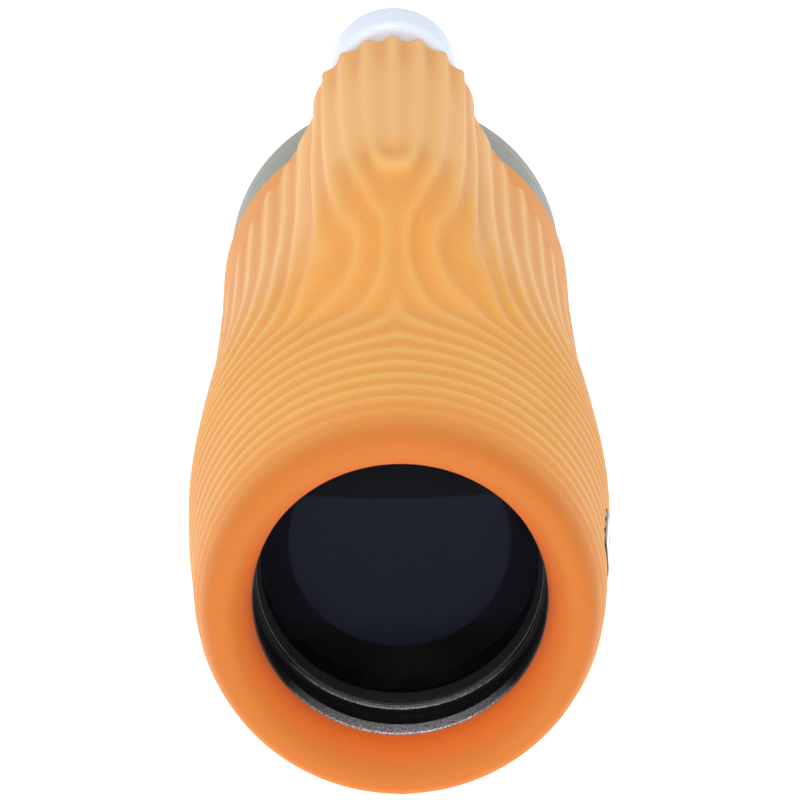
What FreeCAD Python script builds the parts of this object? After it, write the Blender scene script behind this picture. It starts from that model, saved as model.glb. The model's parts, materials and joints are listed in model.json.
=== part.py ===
import FreeCAD, Part
import math
import os
import Sketcher
from types import SimpleNamespace

# A handheld 8x32 roof-prism monocular, in millimetres.
# Y is the optical axis: the objective looks along -Y and the eye sits at +Y.
# Z is up, towards the focus wheel. The origin is on the optical axis, at the front lip.

DIMENSIONS = {
    # Armour: rubber sleeve with a rolled front rim, a bulge, a waist and a hump
    "lip_radius": 16.7,
    "roll_depth": 6.2,
    "roll_crest_radius": 19.9,
    "roll_inner_bend": 7.0,
    "roll_outer_bend": 2.7,
    "shoulder_radius": 22.4,
    "shoulder_place": 4.2,
    "bulge_place": 30.0,
    "bulge_radius": 24.4,
    "bulge_bend": 245.0,
    "taper_place": 50.0,
    "taper_radius": 23.5,
    "waist_place": 66.0,
    "waist_radius": 22.5,
    "waist_bend": 300.0,
    "grip_place": 82.0,
    "grip_radius": 21.95,
    "barrel_length": 106.0,
    "armour_wall": 1.8,
    "nose_fullness": 0.9,
    "skin_gap": 0.05,
    # Hump over the focus spindle
    "hump_height": 23.3,
    "hump_radius": 10.3,
    "hump_foot_radius": 13.5,
    "hump_foot_height": 14.0,
    "hump_start": 58.0,
    "ramp_start": 22.0,
    "ramp_radius": 11.5,
    "ramp_height": 11.0,
    # Flat land under the barrel, with the tripod bush in it
    "land_depth": 25.0,
    "land_width": 18.0,
    "land_start": 38.0,
    "land_length": 36.0,
    "tripod_place": 50.0,
    "tripod_bush_radius": 3.95,
    "tripod_bush_length": 8.2,
    "tripod_tap_radius": 2.55,
    "tripod_tap_depth": 6.8,
    # Housing bores
    "front_bore": 18.0,
    "front_bore_depth": 24.0,
    "bezel_bore": 18.95,
    "bezel_depth": 2.65,
    "throat_radius": 15.4,
    "throat_end": 34.0,
    "focus_bore": 13.6,
    "focus_bore_end": 58.0,
    "chamber_radius": 17.2,
    # Objective group
    "bezel_radius": 16.6,
    "cell_start": 2.7,
    "cell_end": 22.0,
    "cell_outer": 17.95,
    "undercut_radius": 17.05,
    "undercut_end": 7.0,
    "seat_radius": 16.7,
    "seat_end": 17.7,
    "seat_lip": 15.2,
    "seal_place": 20.0,
    "seal_groove": 16.6,
    "seal_groove_half": 0.85,
    "objective_radius": 16.6,
    "objective_vertex": 8.5,
    "objective_joint": 15.0,
    "objective_back": 17.4,
    "crown_front_bend": 71.0,
    "crown_rear_bend": 50.0,
    "flint_rear_bend": 220.0,
    "cement": 0.02,
    # Focusing group
    "focus_start": 40.0,
    "focus_length": 8.0,
    "focus_cell_outer": 13.55,
    "focus_lens_radius": 12.25,
    "focus_lens_clear": 11.4,
    "running_gap": 0.05,
    # Spindle, nut and wheel
    "spindle_height": 27.2,
    "spindle_radius": 1.6,
    "spindle_front": 62.0,
    "spindle_end": 111.2,
    "collar_place": 84.0,
    "collar_radius": 2.6,
    "tunnel_radius": 3.15,
    "tunnel_front": 60.0,
    "nut_place": 66.0,
    "nut_length": 7.0,
    "nut_radius": 2.9,
    "arm_width": 3.6,
    "arm_low": 20.0,
    "arm_high": 22.6,
    "slot_width": 4.4,
    "wheel_start": 106.3,
    "wheel_end": 113.7,
    "wheel_radius": 8.1,
    "wheel_gap": 0.6,
    # Prism group
    "prism_start": 61.0,
    "prism_end": 88.0,
    "cradle_bore": 15.2,
    "prism_half": 8.5,
    "strap_screw_along": 13.2,
    "strap_screw_across": 10.6,
    # Eyepiece and eyecup
    "eyepiece_start": 90.0,
    "eyepiece_end": 117.2,
    "eyepiece_outer": 17.1,
    "eyepiece_neck": 15.4,
    "eyepiece_bore": 11.1,
    "eye_lens_radius": 11.0,
    "cover_radius": 21.2,
    "cover_end": 114.0,
    "cover_bore": 17.9,
    "cover_floor": 107.6,
    "cup_start": 114.3,
    "cup_end": 119.5,
    "skirt_radius": 17.7,
    "key_width": 1.9,
    # Blank inlay on the right-hand flank
    "badge_place": 12.5,
    "badge_length": 11.0,
    "badge_width": 5.2,
    "badge_height": 1.4,
    "badge_inner": 22.8,
    "badge_face_radius": 24.15,
}

doc = FreeCAD.newDocument("Monocular")
sheet = doc.addObject("Spreadsheet::Sheet", "Sheet")
for row, (alias, number) in enumerate(DIMENSIONS.items(), start=1):
    sheet.set("A%d" % row, alias)
    sheet.set("B%d" % row, str(number))
    sheet.setAlias("B%d" % row, alias)
doc.recompute()


class Size:
    """A length made from sheet values: its number now and the expression that keeps it."""

    def __init__(self, number, text):
        self.number = number
        self.text = text

    def _join(self, other, sign, number):
        return Size(number, "(%s %s %s)" % (self.text, sign, size(other).text))

    def __add__(self, other):
        return self._join(other, "+", self.number + size(other).number)

    def __sub__(self, other):
        return self._join(other, "-", self.number - size(other).number)

    def __mul__(self, other):
        return self._join(other, "*", self.number * size(other).number)

    def __truediv__(self, other):
        return self._join(other, "/", self.number / size(other).number)


def size(value):
    """Any number or Size as a Size."""
    if isinstance(value, Size):
        return value
    return Size(float(value), repr(float(value)))


d = SimpleNamespace(**{name: Size(float(value), "Sheet." + name) for name, value in DIMENSIONS.items()})

HALF_ROUND = "half round"

pieces = []


def keep(thing, label):
    """Mark an object of the document as a finished piece of the monocular."""
    thing.Label = label
    pieces.append(thing)
    return thing


def bind(thing, **values):
    """Tie properties of an object to the sheet; a double underscore stands for a dot."""
    for name, value in values.items():
        thing.setExpression(name.replace("__", "."), size(value).text)


def new_body(name):
    return doc.addObject("PartDesign::Body", name)


def origin_plane(body, role):
    return next(f for f in body.Origin.OriginFeatures if f.Role == role)


def new_sketch(body, name, role, offset=None):
    """An empty sketch on one of the body's own planes, moved out along the plane's normal."""
    sketch = body.newObject("Sketcher::SketchObject", name)
    sketch.AttachmentSupport = [(origin_plane(body, role), "")]
    sketch.MapMode = "FlatFace"
    if offset is not None:
        bind(sketch, AttachmentOffset__Base__z=offset)
    return sketch


def fix(sketch, kind, geometry, point, value):
    """Hold one coordinate of a sketch point at a sheet value."""
    value = size(value)
    index = sketch.addConstraint(Sketcher.Constraint(kind, -1, 1, geometry, point, value.number))
    sketch.setExpression("Constraints[%d]" % index, value.text)


def arc_between(start, end, radius):
    """The short arc from start to end; a positive radius has its centre on the left."""
    chord = end - start
    reach = math.sqrt(radius * radius - chord.Length * chord.Length / 4)
    left = FreeCAD.Vector(-chord.y, chord.x, 0).normalize()
    side = 1 if radius > 0 else -1
    centre = (start + end) * 0.5 + left * (reach * side)
    first, last = (start, end) if radius > 0 else (end, start)
    circle = Part.Circle(centre, FreeCAD.Vector(0, 0, 1), abs(radius))
    return Part.ArcOfCircle(circle, circle.parameter(first), circle.parameter(last))


def outline(sketch, corners):
    """A closed outline of (across, up) corners; a third entry bends the edge that follows."""
    places = [FreeCAD.Vector(size(c[0]).number, size(c[1]).number, 0) for c in corners]
    ends = []
    for i, corner in enumerate(corners):
        start = places[i]
        end = places[(i + 1) % len(corners)]
        if corner[-1] is HALF_ROUND:
            circle = Part.Circle((start + end) * 0.5, FreeCAD.Vector(0, 0, 1), (end - start).Length / 2)
            arc = Part.ArcOfCircle(circle, circle.parameter(start), circle.parameter(end))
            index = sketch.addGeometry(arc, False)
            fix(sketch, "DistanceY", index, 3, corner[1])
            ends.append((index, 1, 2))
        elif len(corner) == 3:
            radius = size(corner[2])
            index = sketch.addGeometry(arc_between(start, end, radius.number), False)
            bend = sketch.addConstraint(Sketcher.Constraint("Radius", index, abs(radius.number)))
            sketch.setExpression("Constraints[%d]" % bend, "abs(%s)" % radius.text)
            ends.append((index, 1, 2) if radius.number > 0 else (index, 2, 1))
        else:
            index = sketch.addGeometry(Part.LineSegment(start, end), False)
            ends.append((index, 1, 2))
    for i, corner in enumerate(corners):
        before = ends[i - 1]
        here = ends[i]
        sketch.addConstraint(Sketcher.Constraint("Coincident", before[0], before[2], here[0], here[1]))
        fix(sketch, "DistanceX", here[0], here[1], corner[0])
        fix(sketch, "DistanceY", here[0], here[1], corner[1])


def turn(body, sketch, kind="Revolution"):
    """Revolve a sketch on the YZ plane about the Y axis, adding or cutting."""
    feature = body.newObject("PartDesign::" + kind, sketch.Name + "_turn")
    feature.Profile = sketch
    feature.ReferenceAxis = (sketch, ["H_Axis"])
    feature.Angle = 360
    return feature


def turned_on(body, corners, kind="Revolution", tag="profile"):
    """Add to a body, or cut from it, an outline of (along, radius) corners turned about Y."""
    sketch = new_sketch(body, "%s_%s" % (body.Name, tag), "YZ_Plane")
    outline(sketch, corners)
    return turn(body, sketch, kind)


def turned(name, corners, height=None):
    """A finished turned piece, on the optical axis or on a parallel axis above it."""
    body = new_body(name)
    turned_on(body, corners)
    if height is not None:
        bind(body, Placement__Base__z=height)
    return keep(body, name)


def pad_along(body, tag, corners, start, length):
    """Extrude an outline of (x, z) corners towards +Y from one place on the axis."""
    sketch = new_sketch(body, "%s_%s" % (body.Name, tag), "XZ_Plane", size(0) - start)
    outline(sketch, corners)
    feature = body.newObject("PartDesign::Pad", "%s_%s_pad" % (body.Name, tag))
    feature.Profile = sketch
    feature.Reversed = True
    bind(feature, Length=length)
    return feature


def pad_across(body, tag, corners, width, kind="Pad"):
    """Extrude an outline of (y, z) corners evenly to both sides of the middle plane."""
    sketch = new_sketch(body, "%s_%s" % (body.Name, tag), "YZ_Plane")
    outline(sketch, corners)
    feature = body.newObject("PartDesign::" + kind, "%s_%s_%s" % (body.Name, tag, kind.lower()))
    feature.Profile = sketch
    feature.Midplane = True
    bind(feature, Length=width)
    return feature


def circle_sketch(body, tag, role, across, up, radius, offset):
    """A sketch with one circle."""
    sketch = new_sketch(body, "%s_%s" % (body.Name, tag), role, offset)
    centre = FreeCAD.Vector(size(across).number, size(up).number, 0)
    sketch.addGeometry(Part.Circle(centre, FreeCAD.Vector(0, 0, 1), size(radius).number), False)
    fix(sketch, "DistanceX", 0, 3, across)
    fix(sketch, "DistanceY", 0, 3, up)
    index = sketch.addConstraint(Sketcher.Constraint("Radius", 0, size(radius).number))
    sketch.setExpression("Constraints[%d]" % index, size(radius).text)
    return sketch


def drill_along(body, tag, height, radius, start, length):
    """Cut a round hole along Y, from one place on the axis towards +Y."""
    sketch = circle_sketch(body, tag, "XZ_Plane", 0, height, radius, size(0) - start)
    feature = body.newObject("PartDesign::Pocket", "%s_%s_hole" % (body.Name, tag))
    feature.Profile = sketch
    bind(feature, Length=length)
    return feature


def box(name, low, lengths):
    """A Part box from its low corner and its side lengths."""
    made = doc.addObject("Part::Box", name)
    bind(made, Length=lengths[0], Width=lengths[1], Height=lengths[2])
    bind(made, Placement__Base__x=low[0], Placement__Base__y=low[1], Placement__Base__z=low[2])
    return made


def upright_cylinder(name, x, y, low, radius, height):
    """A Part cylinder standing along Z."""
    made = doc.addObject("Part::Cylinder", name)
    bind(made, Radius=radius, Height=height)
    bind(made, Placement__Base__x=x, Placement__Base__y=y, Placement__Base__z=low)
    return made


def boolean(kind, name, base, tool):
    """A Part cut or fuse of two objects."""
    made = doc.addObject("Part::" + kind, name)
    made.Base = base
    made.Tool = tool
    return made


def fuse_all(name, things):
    """A Part fusion of several objects."""
    made = doc.addObject("Part::MultiFuse", name)
    made.Shapes = things
    return made


def seal_ring(name, place, centre_radius, thickness, height=0):
    """A round-section sealing ring whose axis lies along Y."""
    made = doc.addObject("Part::Torus", name)
    bind(made, Radius1=centre_radius, Radius2=thickness)
    bind(made, Placement__Base__y=place, Placement__Base__z=height)
    made.Placement.Rotation = FreeCAD.Rotation(FreeCAD.Vector(1, 0, 0), 90)
    return keep(made, name)


def hump_section(body, tag, place, radius, foot, height):
    """The hump's cross-section: a half-round top on sides that spread to the foot."""
    sketch = new_sketch(body, "%s_%s" % (body.Name, tag), "XZ_Plane", size(0) - place)
    low = d.hump_foot_height - 6
    outline(
        sketch,
        [
            (size(0) - foot, low),
            (foot, low),
            (foot, d.hump_foot_height),
            (radius, height, HALF_ROUND),
            (size(0) - radius, height),
            (size(0) - foot, d.hump_foot_height),
        ],
    )
    return sketch


def humped_barrel(name, inset, rear):
    """The armour's outer form drawn in by an inset: bulging barrel, hump and ramp.

    Only the outermost form, with no inset, has the rolled lip."""
    body = new_body(name)
    if size(inset).number == 0:
        nose = [
            (0, d.lip_radius, size(0) - d.roll_inner_bend),
            (size(0) - d.roll_depth, d.roll_crest_radius, size(0) - d.roll_outer_bend),
            (size(0) - d.shoulder_place, d.shoulder_radius, size(0) - d.bulge_bend),
        ]
    else:
        nose = [(0, d.shoulder_radius + d.nose_fullness - inset)]
    barrel = [
        (d.bulge_place, d.bulge_radius - inset, size(0) - d.bulge_bend),
        (d.taper_place, d.taper_radius - inset),
        (d.waist_place, d.waist_radius - inset, d.waist_bend),
        (d.grip_place, d.grip_radius - inset),
        (rear, d.grip_radius - inset),
        (rear, 0),
        (0, 0),
    ]
    turned_on(body, nose + barrel)
    hump_radius = d.hump_radius - inset
    hump_foot = d.hump_foot_radius - inset
    back = hump_section(body, "hump_back", rear, hump_radius, hump_foot, d.hump_height)
    hump = body.newObject("PartDesign::Pad", name + "_hump")
    hump.Profile = back
    bind(hump, Length=size(rear) - d.hump_start)
    top = hump_section(body, "hump_top", d.hump_start, hump_radius, hump_foot, d.hump_height)
    toe_radius = d.ramp_radius - inset
    toe = hump_section(body, "ramp_toe", d.ramp_start, toe_radius, toe_radius, d.ramp_height)
    ramp = body.newObject("PartDesign::AdditiveLoft", name + "_ramp")
    ramp.Profile = top
    ramp.Sections = [toe]
    ramp.Ruled = True
    return body


def make_barrel_armour():
    """Rubber sleeve: the outer form and the flat land, hollowed for the housing."""
    outer = humped_barrel("armour_outer", 0, d.barrel_length)
    land = box(
        "armour_land",
        (size(0) - d.land_width / 2, d.land_start, size(0) - d.land_depth),
        (d.land_width, d.land_length, 8),
    )
    inner = humped_barrel("armour_hollow", d.armour_wall - d.skin_gap, d.barrel_length + 1)
    mouth = doc.addObject("Part::Cylinder", "armour_mouth")
    bind(mouth, Radius=d.lip_radius, Height=10, Placement__Base__y=5)
    mouth.Placement.Rotation = FreeCAD.Rotation(FreeCAD.Vector(1, 0, 0), 90)
    below = size(0) - d.land_depth - 1
    bush_radius = d.tripod_bush_radius + d.skin_gap
    bush_hole = upright_cylinder("armour_bush_hole", 0, d.tripod_place, below, bush_radius, 10)
    badge_hole = box(
        "armour_badge_hole",
        (d.badge_inner, d.badge_place - d.badge_length / 2, d.badge_height - d.badge_width / 2),
        (5, d.badge_length, d.badge_width),
    )
    solid = fuse_all("armour_solid", [outer, land])
    hollow = fuse_all("armour_tools", [inner, mouth, bush_hole, badge_hole])
    keep(boolean("Cut", "barrel_armour", solid, hollow), "barrel_armour")


def make_side_badge():
    """Blank inlay let into the armour, its face curved like the flank."""
    gap = 0.1
    length = d.badge_length - gap * 2
    width = d.badge_width - gap * 2
    block = box(
        "badge_block",
        (d.badge_inner, d.badge_place - length / 2, d.badge_height - width / 2),
        (3, length, width),
    )
    face = doc.addObject("Part::Cylinder", "badge_face")
    bind(face, Radius=d.badge_face_radius, Height=60, Placement__Base__y=50)
    face.Placement.Rotation = FreeCAD.Rotation(FreeCAD.Vector(1, 0, 0), 90)
    keep(boolean("Common", "side_badge", block, face), "side_badge")


def make_main_housing():
    """Moulded body tube: stepped bores, spindle tunnel, arm slot and bush seat."""
    body = humped_barrel("main_housing", d.armour_wall, d.barrel_length)
    bores = [
        (-1, 0),
        (-1, d.bezel_bore),
        (d.bezel_depth, d.bezel_bore),
        (d.bezel_depth, d.front_bore),
        (d.front_bore_depth, d.front_bore),
        (d.front_bore_depth, d.throat_radius),
        (d.throat_end, d.throat_radius),
        (d.throat_end, d.focus_bore),
        (d.focus_bore_end, d.focus_bore),
        (d.focus_bore_end, d.chamber_radius),
        (d.barrel_length + 1, d.chamber_radius),
        (d.barrel_length + 1, 0),
    ]
    turned_on(body, bores, "Groove", "bores")
    tunnel_length = d.barrel_length + 1 - d.tunnel_front
    drill_along(body, "tunnel", d.spindle_height, d.tunnel_radius, d.tunnel_front, tunnel_length)
    slot_start = d.focus_start - 1
    slot_end = d.nut_place + d.nut_length + 5
    slot_low = d.focus_bore - 2.6
    slot_top = d.arm_high + 0.6
    slot = [
        (slot_start, slot_low),
        (slot_end, slot_low),
        (slot_end, d.spindle_height),
        (d.spindle_front, d.spindle_height),
        (d.spindle_front, slot_top),
        (slot_start, slot_top),
    ]
    pad_across(body, "slot", slot, d.slot_width, "Pocket")
    land = size(0) - d.land_depth
    seat = circle_sketch(body, "bush_seat", "XY_Plane", 0, d.tripod_place, d.tripod_bush_radius, land)
    pocket = body.newObject("PartDesign::Pocket", "main_housing_bush_pocket")
    pocket.Profile = seat
    pocket.Reversed = True
    bind(pocket, Length=d.tripod_bush_length + 0.3)
    keep(body, "main_housing")


def make_tripod_bush():
    """Threaded brass insert, closed at its inner end."""
    low = size(0) - d.land_depth + 0.1
    blank_radius = d.tripod_bush_radius - 0.02
    blank = upright_cylinder("bush_blank", 0, d.tripod_place, low, blank_radius, d.tripod_bush_length)
    tap = upright_cylinder("bush_tap", 0, d.tripod_place, low, d.tripod_tap_radius, d.tripod_tap_depth)
    keep(boolean("Cut", "tripod_bush", blank, tap), "tripod_bush")


def lens(name, front, rear, radius, front_bend, rear_bend):
    """A round lens between two vertices; a positive bend bulges towards the front."""
    body = new_body(name)
    sketch = new_sketch(body, name + "_profile", "YZ_Plane")
    rims = []
    for vertex, bend in ((front, front_bend), (rear, rear_bend)):
        vertex = size(vertex)
        bend = size(bend)
        radius_now = abs(bend.number)
        side = 1 if bend.number > 0 else -1
        centre = FreeCAD.Vector(vertex.number + side * radius_now, 0, 0)
        reach = math.asin(size(radius).number / radius_now)
        circle = Part.Circle(centre, FreeCAD.Vector(0, 0, 1), radius_now)
        if side > 0:
            arc = Part.ArcOfCircle(circle, math.pi - reach, math.pi)
        else:
            arc = Part.ArcOfCircle(circle, 0, reach)
        index = sketch.addGeometry(arc, False)
        axis_end, rim_end = (2, 1) if side > 0 else (1, 2)
        bend_rule = sketch.addConstraint(Sketcher.Constraint("Radius", index, radius_now))
        sketch.setExpression("Constraints[%d]" % bend_rule, "abs(%s)" % bend.text)
        sketch.addConstraint(Sketcher.Constraint("PointOnObject", index, 3, -1))
        sketch.addConstraint(Sketcher.Constraint("PointOnObject", index, axis_end, -1))
        fix(sketch, "DistanceX", index, axis_end, vertex)
        fix(sketch, "DistanceY", index, rim_end, radius)
        rims.append((index, axis_end, rim_end))
    for kind in (1, 2):
        first = rims[0]
        last = rims[1]
        start = sketch.getPoint(first[0], first[kind])
        end = sketch.getPoint(last[0], last[kind])
        line = sketch.addGeometry(Part.LineSegment(start, end), False)
        sketch.addConstraint(Sketcher.Constraint("Coincident", line, 1, first[0], first[kind]))
        sketch.addConstraint(Sketcher.Constraint("Coincident", line, 2, last[0], last[kind]))
    turn(body, sketch)
    return keep(body, name)


def make_objective():
    """Objective cell with its doublet, rings and seal."""
    turned(
        "front_bezel_ring",
        [
            (0, d.bezel_radius),
            (d.cell_start - 0.1, d.bezel_radius),
            (d.cell_start - 0.1, d.bezel_bore - 0.05),
            (0, d.bezel_bore - 0.05),
        ],
    )
    groove_start = d.seal_place - d.seal_groove_half
    groove_end = d.seal_place + d.seal_groove_half
    turned(
        "objective_cell",
        [
            (d.cell_start, d.undercut_radius),
            (d.undercut_end, d.undercut_radius),
            (d.undercut_end, d.seat_radius),
            (d.seat_end, d.seat_radius),
            (d.seat_end, d.seat_lip),
            (d.cell_end, d.seat_lip),
            (d.cell_end, d.cell_outer),
            (groove_end, d.cell_outer),
            (groove_end, d.seal_groove),
            (groove_start, d.seal_groove),
            (groove_start, d.cell_outer),
            (d.cell_start, d.cell_outer),
        ],
    )
    seal_ring("objective_seal", d.seal_place, d.seal_groove + 0.67, 0.65)
    clear = d.objective_radius - 0.7
    turned(
        "objective_retaining_ring",
        [
            (d.undercut_end, d.seat_radius - 0.2),
            (d.undercut_end + 0.9, d.seat_radius - 0.25),
            (d.undercut_end + 1.0, d.seat_radius - 0.4),
            (d.objective_vertex + 1.74, clear),
            (d.objective_vertex + 1.74, d.seat_radius - 0.05),
            (d.undercut_end, d.seat_radius - 0.05),
        ],
    )
    lens(
        "objective_crown_lens",
        d.objective_vertex,
        d.objective_joint,
        d.objective_radius,
        d.crown_front_bend,
        size(0) - d.crown_rear_bend,
    )
    lens(
        "objective_flint_lens",
        d.objective_joint + d.cement,
        d.objective_back,
        d.objective_radius,
        size(0) - d.crown_rear_bend,
        size(0) - d.flint_rear_bend,
    )


def make_focusing_group():
    """The sliding negative lens in its cell, and the arm and nut that push it."""
    start = d.focus_start
    end = d.focus_start + d.focus_length
    turned(
        "focusing_lens_cell",
        [
            (start, d.focus_lens_clear),
            (start + 1.2, d.focus_lens_clear),
            (start + 1.2, d.focus_lens_radius + 0.05),
            (end, d.focus_lens_radius + 0.05),
            (end, d.focus_cell_outer),
            (start, d.focus_cell_outer),
        ],
    )
    lens("focusing_lens", start + 2.6, start + 4.8, d.focus_lens_radius, -60, 80)
    turned(
        "focusing_lens_ring",
        [
            (start + 5.8, d.focus_lens_clear),
            (start + 7.4, d.focus_lens_clear),
            (start + 7.4, d.focus_lens_radius),
            (start + 5.8, d.focus_lens_radius),
        ],
    )
    arm = new_body("focus_arm")
    foot = d.focus_cell_outer + 0.02
    nut_end = d.nut_place + d.nut_length
    bar = [
        (start + 1, foot),
        (start + 7, foot),
        (start + 7, d.arm_low),
        (nut_end, d.arm_low),
        (nut_end, d.arm_high),
        (start + 1, d.arm_high),
    ]
    pad_across(arm, "bar", bar, d.arm_width)
    keep(arm, "focus_arm")
    nut = new_body("focus_nut")
    reach = d.arm_high - d.spindle_height
    lug = [
        (d.nut_place + 1, reach),
        (nut_end - 1, reach),
        (nut_end - 1, -1),
        (d.nut_place + 1, -1),
    ]
    pad_across(nut, "lug", lug, d.arm_width)
    turned_on(
        nut,
        [
            (d.nut_place, 0),
            (nut_end, 0),
            (nut_end, d.nut_radius),
            (d.nut_place, d.nut_radius),
        ],
    )
    drill_along(nut, "thread", 0, d.spindle_radius + d.running_gap, d.nut_place - 1, d.nut_length + 2)
    bind(nut, Placement__Base__z=d.spindle_height)
    keep(nut, "focus_nut")


def make_focus_drive():
    """Spindle, its bush and seal, and the wheel with its screw and cap."""
    high = d.spindle_height
    screw_bore = 0.8
    turned(
        "focus_spindle",
        [
            (d.spindle_front, 0),
            (d.spindle_front, d.spindle_radius),
            (d.collar_place, d.spindle_radius),
            (d.collar_place, d.collar_radius),
            (d.collar_place + 1.4, d.collar_radius),
            (d.collar_place + 1.4, d.spindle_radius),
            (d.spindle_end, d.spindle_radius),
            (d.spindle_end, screw_bore),
            (d.spindle_end - 6, screw_bore),
            (d.spindle_end - 6, 0),
        ],
        high,
    )
    turned(
        "spindle_bush",
        [
            (d.collar_place + 1.6, d.spindle_radius + d.running_gap),
            (d.collar_place + 14, d.spindle_radius + d.running_gap),
            (d.collar_place + 14, d.tunnel_radius - 0.02),
            (d.collar_place + 1.6, d.tunnel_radius - 0.02),
        ],
        high,
    )
    seal_ring("spindle_seal", d.collar_place + 16.5, d.spindle_radius + 0.76, 0.7, high)
    turned(
        "thrust_washer",
        [
            (d.barrel_length + 0.02, d.spindle_radius + 0.1),
            (d.barrel_length + 0.22, d.spindle_radius + 0.1),
            (d.barrel_length + 0.22, 4.2),
            (d.barrel_length + 0.02, 4.2),
        ],
        high,
    )
    edge = 0.6
    recess = d.wheel_radius - 1.7
    pit = d.wheel_end - 2.4
    turned(
        "focus_wheel",
        [
            (d.wheel_start, d.spindle_radius + 0.02),
            (d.wheel_start, d.wheel_radius - edge, -edge),
            (d.wheel_start + edge, d.wheel_radius),
            (d.wheel_end - edge, d.wheel_radius, -edge),
            (d.wheel_end, d.wheel_radius - edge),
            (d.wheel_end, recess),
            (d.wheel_end - 0.8, recess),
            (d.wheel_end - 0.8, 2.35),
            (pit, 2.35),
            (pit, d.spindle_radius + 0.02),
        ],
        high,
    )
    turned(
        "wheel_screw",
        [
            (d.spindle_end - 5, 0),
            (d.spindle_end - 5, 0.75),
            (pit + 0.02, 0.75),
            (pit + 0.02, 2.2),
            (pit + 1.4, 2.2),
            (pit + 1.4, 0),
        ],
        high,
    )
    turned(
        "wheel_cap",
        [
            (d.wheel_end - 0.75, 0),
            (d.wheel_end - 0.75, recess - 0.05),
            (d.wheel_end - 0.05, recess - 0.05),
            (d.wheel_end - 0.05, 0),
        ],
        high,
    )


def make_prism_group():
    """Cradle with two rails, the prism pair, their strap and its screws, and a baffle."""
    cradle = new_body("prism_cradle_blank")
    turned_on(
        cradle,
        [
            (d.prism_start, d.cradle_bore),
            (d.prism_end - 1.2, d.cradle_bore),
            (d.prism_end - 1.2, 7.6),
            (d.prism_end, 7.6),
            (d.prism_end, d.chamber_radius - 0.1),
            (d.prism_start, d.chamber_radius - 0.1),
        ],
    )
    rail_inner = d.prism_half + 0.05
    rail_outer = 13.4
    rails = [
        ("right_rail", rail_inner, size(rail_outer)),
        ("left_rail", size(0) - rail_outer, size(0) - rail_inner),
    ]
    for tag, low, high in rails:
        block = [(low, -8), (high, -8), (high, 8), (low, 8)]
        pad_along(cradle, tag, block, d.prism_start + 2, d.prism_end - 1.5 - d.prism_start)
    solid = boolean("Cut", "prism_cradle", cradle, screw_holes("cradle_screw_holes", 0.62))
    keep(solid, "prism_cradle")

    front = new_body("front_prism")
    middle = d.prism_start + 2.2
    pad_across(
        front,
        "block",
        [
            (middle, 8.5),
            (middle, -8.5),
            (middle + 3.6, -12),
            (middle + 11.6, -12),
            (middle + 16, -7.5),
        ],
        d.prism_half * 2,
    )
    keep(front, "front_prism")
    roof = new_body("roof_prism")
    pad_across(
        roof,
        "block",
        [
            (middle + 0.6, 8.5),
            (middle + 4.3, 12.2),
            (middle + 18, 12.2),
            (middle + 21.7, 8.5),
            (middle + 21.7, -8.5),
            (middle + 17.6, -8.5),
        ],
        d.prism_half * 2,
    )
    doc.recompute()
    ridge = [
        "Edge%d" % (i + 1)
        for i, edge in enumerate(roof.Shape.Edges)
        if edge.BoundBox.ZMin > 12 and edge.BoundBox.YLength > 10
    ]
    block = roof.Tip
    bevel = roof.newObject("PartDesign::Chamfer", "roof_bevel")
    bevel.Base = (block, ridge)
    bevel.Size = 2.5
    keep(roof, "roof_prism")

    strap = new_body("prism_strap_blank")
    foot = 12.4
    under = 8.02
    over = under + 0.6
    inside = 8.8
    outside = inside + 0.6
    low_top = 12.3
    high_top = low_top + 0.6
    outer_slope = 1.6
    inner_slope = 1.85
    corners = [
        (foot, under),
        (foot, over),
        (outside, over),
        (outside, low_top - outer_slope),
        (inside - outer_slope, high_top),
        (-inside + outer_slope, high_top),
        (-outside, low_top - outer_slope),
        (-outside, over),
        (-foot, over),
        (-foot, under),
        (-inside, under),
        (-inside, low_top - inner_slope),
        (-inside + inner_slope, low_top),
        (inside - inner_slope, low_top),
        (inside, low_top - inner_slope),
        (inside, under),
    ]
    pad_along(strap, "bend", corners, middle + 7, 8)
    drilled = boolean("Cut", "prism_strap", strap, screw_holes("strap_screw_holes", 0.62))
    keep(drilled, "prism_strap")
    screws = []
    place = d.prism_start + d.strap_screw_along
    for side in (-1, 1):
        across = d.strap_screw_across * side
        shank = upright_cylinder("strap_shank_%d" % (side + 1), across, place, 4.2, 0.55, 4.5)
        head = upright_cylinder("strap_head_%d" % (side + 1), across, place, 8.65, 1.1, 0.8)
        screws += [shank, head]
    keep(fuse_all("prism_strap_screws", screws), "prism_strap_screws")
    turned(
        "prism_baffle",
        [
            (d.prism_start + 0.2, 8.8),
            (d.prism_start + 1.0, 8.8),
            (d.prism_start + 1.0, d.cradle_bore - 0.05),
            (d.prism_start + 0.2, d.cradle_bore - 0.05),
        ],
    )


def screw_holes(name, radius):
    """The pair of upright holes for the strap screws."""
    place = d.prism_start + d.strap_screw_along
    holes = []
    for side in (-1, 1):
        across = d.strap_screw_across * side
        holes.append(upright_cylinder("%s_%d" % (name, side + 1), across, place, 4, radius, 6))
    return fuse_all(name, holes)


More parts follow.
